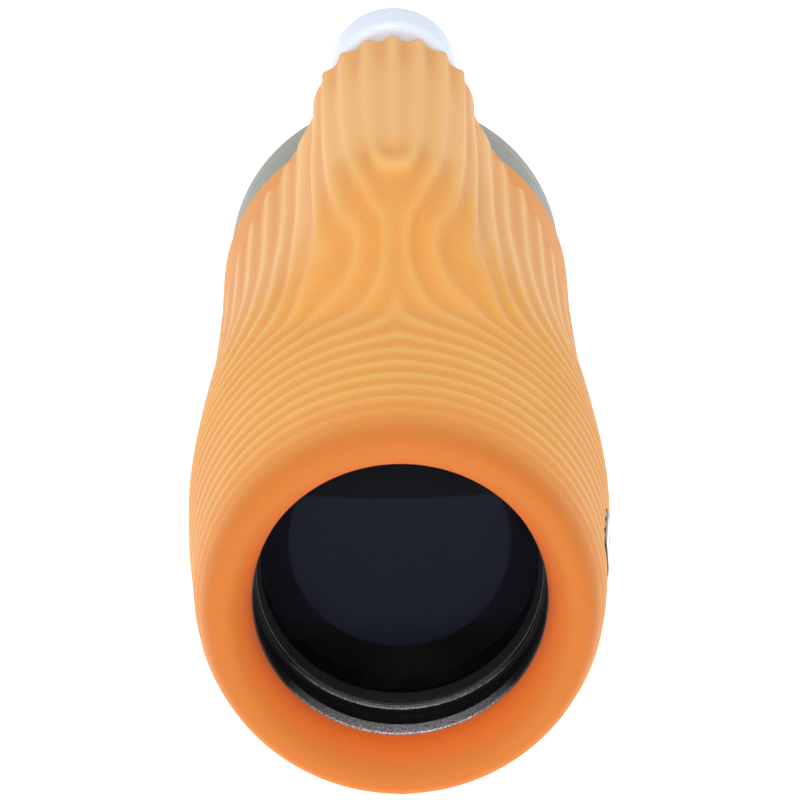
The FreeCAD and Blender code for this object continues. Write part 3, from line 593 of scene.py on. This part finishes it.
def ridge_height(reach, angle, along):
    """Height of the ridges in millimetres, their level from 0 to 1, and where the rear rim is plain."""
    across = np.abs(reach)
    degrees = np.degrees(np.abs(angle))
    crest = 1 - np.abs(np.sin(math.pi * ridge_number(reach, angle, along))) ** 1.5
    on_hump = smooth_step(24, 46, along) * (1 - smooth_step(28, 40, degrees))
    rings = RING_DEPTH * (0.6 + 0.4 * smooth_step(12, 32, along))
    depth = rings + (FLUTE_DEPTH - rings) * on_hump
    # Where the ridges are shallower: before the saddle, in it, on the hump's walls and on its top
    patch = smooth_band(14.5, 16.5, 23, 25, along) * (1 - smooth_step(9, 15, degrees))
    plateau = smooth_band(26, 30, 49, 53, along) * (1 - smooth_step(0.6, 1.8, across))
    wall = smooth_band(17, 20, 31, 35, degrees) * smooth_step(75, 98, along)
    worn = smooth_band(59, 67, 88, 104, along) * (1 - smooth_step(8, 12, across))
    depth = depth * (1 - 0.85 * patch) * (1 - 0.8 * plateau) * (1 - 0.85 * wall) * (1 - 0.5 * worn)
    under = smooth_step(90, 130, degrees)
    # The ridges run to the rear edge over the hump and end before it on the flanks
    end = np.where(degrees < 34, 200.0, np.maximum(100 - 0.54 * (degrees - 45), 84.0))
    kept = 1 - smooth_step(-0.8, 0.8, along - end - 2.6 * (crest - 0.5))
    ridged = smooth_step(-3.4, -2.0, along) * (1 - near_land(angle, along))
    height = depth * (crest - 0.5) * kept * ridged * (1 - 0.25 * under)
    level = 1 - (1 - crest * kept) * ridged * (1 - 0.6 * worn)
    return height, level, 1 - kept


def near_land(angle, along):
    """1 on the flat land under the barrel and close round it, where there are no ridges."""
    across = np.abs(barrel_radius(along) * np.sin(angle))
    low = (np.cos(angle) < 0) * smooth_step(LAND_START - 3, LAND_START - 1.5, along)
    low = low * (1 - smooth_step(LAND_END + 1.5, LAND_END + 3, along))
    return low * (1 - smooth_step(LAND_HALF_WIDTH + 0.5, LAND_HALF_WIDTH + 2, across))


def column_shares(half_length):
    """Places round half the sleeve, from the top, as shares: close where it is ridged."""
    ridged = np.linspace(0, RIDGED_REACH, round(RIDGED_REACH / COLUMN_SPACING), endpoint=False)
    under = np.linspace(RIDGED_REACH, half_length, round((half_length - RIDGED_REACH) / UNDER_SPACING))
    return np.concatenate([ridged, under]) / half_length


def section_points(along, shares):
    """Angles and distances from the top line of the points at given shares of one section."""
    angle = np.linspace(0, math.pi, 1400)
    radius = humped_radius(angle, np.full_like(angle, along))
    x = radius * np.sin(angle)
    z = radius * np.cos(angle)
    reach = np.concatenate([[0], np.cumsum(np.hypot(np.diff(x), np.diff(z)))])
    wanted = shares * reach[-1]
    return np.interp(wanted, reach, angle), wanted


def mirrored(half):
    """Values for the whole way round from those of the right half, top first."""
    return np.concatenate([half, -half[-2:0:-1]])


def housing_radius(tree, angle, along):
    """Distance from the optical axis to the outside of the housing."""
    out = Vector((math.sin(angle), 0, math.cos(angle)))
    start = out * 60 * MM
    start.y = along * MM
    hit = tree.ray_cast(start, -out)[0]
    return math.hypot(hit.x, hit.z) / MM if hit else LIP_RADIUS


def armour_grid():
    """The sleeve's outside as one grid, the ridge and rim levels, and the last row's angles."""
    roll_along, roll_radius = front_roll()
    body_along = np.arange(COLLAR_PLACE + 2, REAR_PLACE - REAR_ROUNDING, ROW_SPACING)[1:]
    shares = column_shares(section_points(REAR_PLACE - 1, np.array([1.0]))[1][0])
    # The front roll has radii of its own, and behind it they follow the barrel, hump and land
    stations = list(zip(roll_along, roll_radius))
    stations += [(along, None) for along in body_along]
    rows = []
    reaches = []
    angles = []
    for along, radius in stations:
        half, reach = section_points(max(along, ROLL_CREST), shares)
        angle = mirrored(half)
        if radius is None:
            radius = armour_radius(angle, np.full_like(angle, along))
        rows.append(ring_points(radius, angle, along))
        reaches.append(mirrored(reach))
        angles.append(angle)
    grid = np.array(rows)
    outside = np.arange(len(grid)) >= np.argmin(roll_along)
    height, level, rim = ridge_height(np.array(reaches), np.array(angles), grid[..., 1])
    # A faint parting line along the underside, from the front roll to the land
    ahead_of_land = (grid[..., 2] < 0) * (grid[..., 1] < LAND_START - 2)
    parting = 0.07 * np.exp(-((grid[..., 0] / 0.35) ** 2)) * ahead_of_land
    grid = grid + outward_normals(grid) * ((height + parting) * outside[:, None])[..., None]
    return grid, np.where(outside[:, None], level, 1), rim, angles[-1]


def outward_normals(grid):
    """Unit normals of a grid of rings about the optical axis."""
    down = np.gradient(grid, axis=0)
    wrapped = np.concatenate([grid[:, -1:], grid, grid[:, :1]], axis=1)
    round_way = (wrapped[:, 2:] - wrapped[:, :-2]) / 2
    normal = np.cross(down, round_way)
    normal /= np.maximum(np.linalg.norm(normal, axis=-1, keepdims=True), 1e-9)
    near_rear = -40
    from_axis = grid[near_rear] * [1, 0, 1]
    return normal * np.sign(np.sum(normal[near_rear] * from_axis))


def make_armour():
    """Rubber sleeve: ridged outside, rolled front rim, and an inside that fits the housing."""
    grid, level, rim, angle = armour_grid()
    last = grid[-1]
    radius = np.hypot(last[:, 0], last[:, 2])
    rear = []
    for turn in np.linspace(0, math.pi / 2, 5)[1:]:
        drawn = (radius - REAR_ROUNDING * (1 - math.cos(turn))) / radius
        ring = last * drawn[:, None]
        ring[:, 1] = REAR_PLACE - REAR_ROUNDING + REAR_ROUNDING * math.sin(turn)
        rear.append(ring)
    tree = BVHTree.FromObject(NODES["main_housing"], bpy.context.evaluated_depsgraph_get())
    inner = []
    for along in np.concatenate([[REAR_PLACE], np.linspace(REAR_PLACE - 0.3, 0.3, INNER_RINGS)]):
        seen = min(along, REAR_PLACE - 0.3)
        thin = armour_radius(angle, np.full_like(angle, seen)) - GREATEST_WALL
        wall = np.array([housing_radius(tree, turn, seen) for turn in angle])
        inner.append(ring_points(np.maximum(wall, thin) + HOUSING_GAP, angle, along))
    front = inner[-1].copy()
    front[:, 1] = LIP_FRONT
    whole = np.concatenate([grid[1:], rear, inner, [front, ring_points(LIP_RADIUS, angle, LIP_FRONT)]])
    thing = closed_grid("armour_skin", whole, sharp=50, merge=False)
    add_levels(thing, "ridge", whole.shape[:2], level[1:], 1.0)
    add_levels(thing, "rear_rim", whole.shape[:2], rim[1:], 1.0)
    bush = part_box("tripod_bush")
    middle = (bush[0] + bush[1]) / 2 / MM
    bush_radius = (bush[1].x - bush[0].x) / 2 / MM
    hole = post("bush_hole", middle.x, middle.y, bush_radius + 0.06, low=-30.0, high=-17.5)
    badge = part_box("side_badge")
    recess = rounded_block("badge_recess", badge[0] / MM, badge[1] / MM, margin=0.12, rounding=1.6)
    cut(thing, hole, recess)
    thing.data.set_sharp_from_angle(angle=math.radians(50))
    place(thing, "root", "armour", armour_paint(), "barrel_armour")


def add_levels(thing, name, shape, levels, elsewhere):
    """Give the grid's points a value for the material: the levels first, then one for the rest."""
    values = np.full(shape, elsewhere, np.float32)
    values[: len(levels)] = levels
    thing.data.attributes.new(name, "FLOAT", "POINT").data.foreach_set("value", values.ravel())


def stacked_loops(name, loops):
    """A closed mesh through loops of as many points each, capped at the first and the last."""
    count = len(loops[0])
    last = (len(loops) - 1) * count
    faces = []
    for start in range(0, last, count):
        for i in range(count):
            after = (i + 1) % count
            faces.append((start + i, start + after, start + count + after, start + count + i))
    faces.append(tuple(range(count))[::-1])
    faces.append(tuple(range(last, last + count)))
    return mesh_object(name, [point for loop in loops for point in loop], faces)


def post(name, x, y, radius, low, high, segments=96):
    """An upright round cutter."""
    turn = np.linspace(0, 2 * math.pi, segments, endpoint=False)
    ring = np.stack([x + radius * np.cos(turn), y + radius * np.sin(turn)], -1)
    return stacked_loops(name, [[(px, py, z) for px, py in ring] for z in (low, high)])


def rounded_loop(centre, half_length, half_width, rounding, steps=7):
    """Points of a rounded rectangle about a (y, z) centre."""
    loop = []
    for quarter, (side_y, side_z) in enumerate([(1, 1), (-1, 1), (-1, -1), (1, -1)]):
        corner_y = centre[0] + side_y * (half_length - rounding)
        corner_z = centre[1] + side_z * (half_width - rounding)
        for turn in np.linspace(quarter * math.pi / 2, (quarter + 1) * math.pi / 2, steps):
            loop.append((corner_y + rounding * math.cos(turn), corner_z + rounding * math.sin(turn)))
    return loop


def rounded_block(name, low, high, margin, rounding):
    """A cutter shaped like the inlay, a little larger, that reaches out through the flank."""
    centre = ((low.y + high.y) / 2, (low.z + high.z) / 2)
    half_length = (high.y - low.y) / 2 + margin
    half_width = (high.z - low.z) / 2 + margin
    loop = rounded_loop(centre, half_length, half_width, rounding)
    return stacked_loops(name, [[(x, y, z) for y, z in loop] for x in (low.x - 0.05, high.x + 4)])


def make_badge():
    """Blank inlay: a dark rim round a pale, slightly domed field that follows the flank."""
    low, high = [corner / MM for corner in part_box("side_badge")]
    centre = ((low.y + high.y) / 2, (low.z + high.z) / 2)
    half_length = (high.y - low.y) / 2
    half_width = (high.z - low.z) / 2
    # (distance in from the edge, height above the edge); no height means the flat back
    rings = [(0, None), (0, 0.0), (0.12, 0.05), (BADGE_RIM - 0.1, 0.05), (BADGE_RIM, 0.0)]
    rings += [(BADGE_RIM + 0.4, 0.1), (BADGE_RIM + 1.2, 0.14), (half_width - 0.6, 0.16)]
    loops = []
    for inset, rise in rings:
        rounding = max(1.5 - inset * 0.9, 0.25)
        loop = []
        for y, z in rounded_loop(centre, half_length - inset, half_width - inset, rounding):
            flank = math.sqrt(float(barrel_radius(np.array(y))) ** 2 - z * z)
            loop.append((low.x + 0.02 if rise is None else flank + BADGE_RISE + rise, y, z))
        loops.append(loop)
    thing = tidy_mesh(stacked_loops("badge_inlay", loops), 30)
    dark = plastic_paint("badge_rim", rgb(26, 25, 27), rgb(38, 37, 38), 0.4)
    place(thing, "root", "badge", dark, "side_badge")
    thing.data.materials.append(plastic_paint("badge_field", rgb(244, 240, 226), rgb(232, 228, 214), 0.38))
    above_back = high.x - 1.6
    for face in thing.data.polygons:
        middle = face.center / MM
        in_length = abs(middle.y - centre[0]) < half_length - BADGE_RIM
        in_width = abs(middle.z - centre[1]) < half_width - BADGE_RIM
        if in_length and in_width and middle.x > above_back:
            face.material_index = 1


# ------------------------------------------------------------- turned pieces


def lens_profile(front, rear, radius, front_bend, rear_bend, steps=14):
    """A closed lens profile; a positive bend bulges towards the front, a negative one to the rear."""
    def face(vertex, bend, out):
        distance = np.linspace(0, radius, steps) if out else np.linspace(radius, 0, steps)
        size = abs(bend)
        depth = (size - np.sqrt(size * size - distance**2)) * (1 if bend > 0 else -1)
        return [(vertex + sag, r) for sag, r in zip(depth, distance)]
    return face(front, front_bend, True) + face(rear, rear_bend, False)


def make_objective():
    """Bezel ring, retaining ring and the two lenses behind the lip."""
    make_bezel_ring()
    make_retaining_ring()
    low, high = [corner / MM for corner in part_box("objective_crown_lens")]
    crown = lens_profile(low.y, CEMENT_PLACE, high.x, FRONT_BEND, CEMENT_BEND)
    coating = glass_paint("front_coating", rgb(16, 15, 28), 0.06)
    thing = lathe("front_lens", crown, segments=200, sharp=30)
    place(thing, "root", "coated_glass", coating, "objective_crown_lens")
    low, high = [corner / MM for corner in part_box("objective_flint_lens")]
    flint = lens_profile(CEMENT_PLACE + CEMENT_GAP, high.y, high.x, CEMENT_BEND, REAR_BEND)
    cement = glass_paint("cement_face", rgb(24, 24, 34), 0.02)
    thing = lathe("rear_lens", flint, segments=200, sharp=30)
    place(thing, "root", "coated_glass", cement, "objective_flint_lens")
    # The rear face carries the painted reflection and shade
    thing.data.materials.append(lens_rear_paint())
    rear_face = high.y - 0.75
    for face in thing.data.polygons:
        if face.center.y / MM > rear_face:
            face.material_index = 1


def make_bezel_ring():
    """Plain ring just behind the lip."""
    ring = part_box("front_bezel_ring")
    outer = ring[1].x / MM
    end = ring[1].y / MM
    front = 0.02
    corners = [(front, BEZEL_BORE, 0.15), (end, BEZEL_BORE, 0.1), (end, outer, 0.0), (front, outer, 0.0)]
    thing = lathe("bezel_ring", rounded(corners), segments=240)
    # The blasted black carries painted light low on the ring
    place(thing, "root", "black_metal", blasted_lit_paint(), "front_bezel_ring")


def make_retaining_ring():
    """Ring before the front lens: a blasted land with painted light low on it, a groove and a black bevel.
    """
    low, high = [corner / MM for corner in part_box("objective_retaining_ring")]
    start = low.y
    edge = high.x
    land = 0.85
    profile = rounded(
        [
            (start, edge - 0.15, 0.06),
            (start + land, edge - 0.19, 0.0),
            (start + 0.9, edge - 0.05, 0.0),
            (start + 1.1, edge - 0.05, 0.0),
            (start + 1.15, edge - 0.3, 0.05),
            (high.y, edge - 0.75, 0.0),
            (high.y, edge, 0.0),
            (start, edge, 0.0),
        ]
    )
    thing = lathe("lens_retaining_ring", profile, segments=240)
    black = turned_paint("ring_black", rgb(52, 53, 53), rgb(45, 46, 46), 0.5, 0.2)
    place(thing, "root", "black_metal", black, "objective_retaining_ring")
    # The land takes the blasted black, with its painted light low on the ring
    thing.data.materials.append(blasted_lit_paint())
    for face in thing.data.polygons:
        if face.center.y < (start + land + 0.01) * MM:
            face.material_index = 1


def wheel_paint():
    """Pale blue plastic with a faint glow, which keeps it almost as light as the surround."""
    blue = rgb(218, 228, 241)
    shade = rgb(210, 223, 240)
    paint = plastic_paint("wheel_blue", blue, shade, 0.42, grain=0.3, depth=0.02, Emission_Strength=0.08)
    shader = paint.node_tree.nodes["Principled BSDF"]
    shader.inputs["Emission Color"].default_value = rgb(222, 231, 243)
    return paint


def make_wheel():
    """Focus wheel and its cap."""
    low, high = [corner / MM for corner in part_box("focus_wheel")]
    centre = (low.z + high.z) / 2
    radius = (high.z - low.z) / 2
    recess = radius - 1.7
    spindle = 1.64
    counterbore = 2.35
    paint = wheel_paint()
    profile = rounded(
        [
            (low.y, spindle, 0.0),
            (low.y, radius, 1.2),
            (high.y, radius, 0.7),
            (high.y, recess, 0.15),
            (high.y - 0.8, recess, 0.0),
            (high.y - 0.8, counterbore, 0.0),
            (high.y - 2.4, counterbore, 0.0),
            (high.y - 2.4, spindle, 0.0),
        ]
    )
    place(lathe("wheel_rim", profile, centre, 200), "focus_wheel", "wheel", paint, "focus_wheel")
    low, high = [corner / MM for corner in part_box("wheel_cap")]
    size = (high.z - low.z) / 2
    cap = rounded([(low.y, 0, 0), (low.y, size, 0.0), (high.y, size, 0.22), (high.y + 0.02, 0, 0)])
    place(lathe("wheel_cover", cap, centre, 160), "focus_wheel", "wheel", paint, "wheel_cap")


def make_rear_cover():
    """Grey rear cover with its scoop under the wheel."""
    low, high = [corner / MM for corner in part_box("rear_cover")]
    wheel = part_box("focus_wheel")
    wheel_height = (wheel[0].z + wheel[1].z) / 2 / MM
    scoop_radius = (wheel[1].z - wheel[0].z) / 2 / MM + 0.6
    outer = high.x
    front = REAR_PLACE + 0.05
    floor = 107.6
    neck_bore = 15.5
    neck_outer = 17.1
    bore = 17.9
    profile = rounded(
        [
            (low.y, neck_bore, 0.0),
            (floor, neck_bore, 0.0),
            (floor, bore, 0.0),
            (high.y, bore, 0.25),
            (high.y, outer, 0.1),
            (front, outer, 0.35),
            (front, neck_outer, 0.0),
            (low.y, neck_outer, 0.0),
        ]
    )
    cover = lathe("rear_housing", profile, segments=240)
    ends = (front - 1, high.y + 1)
    outline = [(ends[0], 0), (ends[0], scoop_radius), (ends[1], scoop_radius), (ends[1], 0)]
    cut(cover, lathe("wheel_scoop", outline, wheel_height, 96))
    cover.data.set_sharp_from_angle(angle=math.radians(35))
    grey = plastic_paint("cover_grey", rgb(150, 153, 145), rgb(138, 141, 133), 0.55)
    place(cover, "root", "grey_plastic", grey, "rear_cover")


def make_eyecup_rim():
    """Soft grey rim over the eyecup's hard core."""
    low, high = [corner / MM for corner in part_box("eyecup_rubber")]
    outer = high.x
    front = low.y - 0.25
    core = outer - 0.98
    shelf = 116.32
    mouth = 15.6
    mouth_end = 117.5
    flare = 17.6
    profile = rounded(
        [
            (front, core, 0.0),
            (shelf, core, 0.0),
            (shelf, mouth, 0.0),
            (mouth_end, mouth, 0.2),
            (high.y, flare, 0.8),
            (high.y, outer, 1.3),
            (front, outer, 0.06),
        ]
    )
    grey = rgb(146, 149, 141)
    shade = rgb(133, 136, 128)
    rubber = plastic_paint("eyecup_grey", grey, shade, 0.66, grain=0.3, depth=0.06, Sheen_Weight=0.2)
    place(lathe("eyecup_rim", profile, segments=240), "eyecup", "grey_rubber", rubber, "eyecup_rubber")


def make_bush():
    """Threaded brass insert: a closed grid round the upright axis, its bore with a 20 per inch thread."""
    low, high = [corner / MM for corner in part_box("tripod_bush")]
    centre_x = (low.x + high.x) / 2
    centre_y = (low.y + high.y) / 2
    outer = (high.x - low.x) / 2
    root = 3.05
    thread = 0.5
    pitch = 25.4 / 20
    depth = 6.8
    turn = np.linspace(0, 2 * math.pi, 96, endpoint=False)
    rings = [(outer, high.z), (outer, low.z + 0.3), (outer - 0.3, low.z), (root + 0.15, low.z)]
    rings += [(None, low.z + z) for z in np.arange(0.15, depth, pitch / 8)]
    rings += [(0.6, low.z + depth + 0.9), (0.0, low.z + depth + 1.0), (0.0, high.z)]
    rows = []
    for radius, z in rings:
        if radius is None:
            wave = np.abs(((z - low.z) / pitch + turn / (2 * math.pi)) % 1 - 0.5) * 2
            size = root - thread * smooth_step(0.2, 0.9, wave)
        else:
            size = np.full_like(turn, radius)
        x = centre_x + size * np.cos(turn)
        y = centre_y + size * np.sin(turn)
        rows.append(np.stack([x, y, np.full_like(turn, z)], -1))
    brass = turned_paint("brass", rgb(206, 170, 104), rgb(190, 152, 88), 0.3, 1.0)
    place(closed_grid("threaded_bush", np.array(rows), 40), "root", "brass", brass, "tripod_bush")


def paint_cad_nodes():
    """Materials of the CAD nodes that stay as they are."""
    paints = {
        "housing": plastic_paint("housing_black", rgb(40, 40, 42), rgb(34, 34, 36), 0.55),
        "black_metal": turned_paint("black_metal", rgb(15, 15, 16), rgb(11, 11, 12), 0.45, 0.3),
        "glass": glass_paint("inner_glass", rgb(60, 70, 72), 0.3),
        "brass": turned_paint("brass_parts", rgb(206, 170, 104), rgb(190, 152, 88), 0.3, 1.0),
        "steel": turned_paint("steel", rgb(176, 177, 180), rgb(150, 152, 155), 0.3, 1.0),
        "seal": plastic_paint("seal_rubber", rgb(28, 28, 28), rgb(22, 22, 22), 0.6),
    }
    for row in frame["record"]["subparts"]:
        thing = NODES[row["node"]]
        if row["material_slot"] in paints and not thing.hide_render:
            thing.data.materials.clear()
            thing.data.materials.append(paints[row["material_slot"]])


# ------------------------------------------------------------------------ stage


def make_stage():
    """White floor under the land, a white surround and soft lights from above and from the front."""
    edge = 4000.0
    corners = [(-edge, -edge), (edge, -edge), (edge, edge), (-edge, edge)]
    floor = mesh_object("floor", [(x, y, -LAND_DEPTH) for x, y in corners], [(0, 1, 2, 3)])
    white = Paint("floor_white", (0.86, 0.86, 0.86, 1), 0.8)
    tone = white.ramp(white.noise(90, 2), 0.3, 0.7)
    white.colour(white.mix(tone, (0.85, 0.85, 0.85, 1), (0.88, 0.88, 0.88, 1)))
    white.shader.inputs["Emission Color"].default_value = (1, 1, 1, 1)
    white.shader.inputs["Emission Strength"].default_value = 0.85
    floor.data.materials.append(white.material)
    world = bpy.data.worlds.new("surround")
    world.use_nodes = True
    surround = world.node_tree.nodes["Background"]
    surround.inputs["Color"].default_value = (1, 1, 1, 1)
    surround.inputs["Strength"].default_value = 0.58
    bpy.context.scene.world = world
    bpy.context.scene.view_settings.view_transform = "Standard"
    softbox("key_light", (-0.10, -0.28, 0.84), (0, 0.02, 0), 0.40, 4.0)
    softbox("front_light", (-0.05, -0.85, 0.30), (0, 0.0, 0), 0.5, 0.9)


def softbox(name, location, target, size, power):
    """A round soft light aimed at a target; places and size in metres, power in watts."""
    light = bpy.data.lights.new(name, "AREA")
    light.shape = "DISK"
    light.size = size
    light.energy = power
    thing = bpy.data.objects.new(name, light)
    bpy.context.scene.collection.objects.link(thing)
    thing.location = location
    thing.rotation_euler = (Vector(target) - Vector(location)).to_track_quat("-Z", "Y").to_euler()


def make_camera():
    """Long lens, 0.75 m from the lip and about 22 degrees above the optical axis."""
    distance = 0.75
    elevation = math.radians(21.9)
    data = bpy.data.cameras.new("camera")
    data.lens = 298.8
    data.sensor_width = 36
    data.clip_start = 0.05
    camera = bpy.data.objects.new("camera", data)
    bpy.context.scene.collection.objects.link(camera)
    camera.location = (-0.001, -distance * math.cos(elevation), distance * math.sin(elevation))
    pitch = math.radians(90 - 20.195)
    yaw = math.radians(-0.10)
    roll = math.radians(-0.65)
    turn = Euler((pitch, 0, yaw)).to_matrix() @ Euler((0, 0, roll)).to_matrix()
    camera.rotation_euler = turn.to_euler()
    bpy.context.scene.camera = camera


make_armour()
make_badge()
make_objective()
make_wheel()
make_rear_cover()
make_eyecup_rim()
make_bush()
paint_cad_nodes()
make_stage()
make_camera()
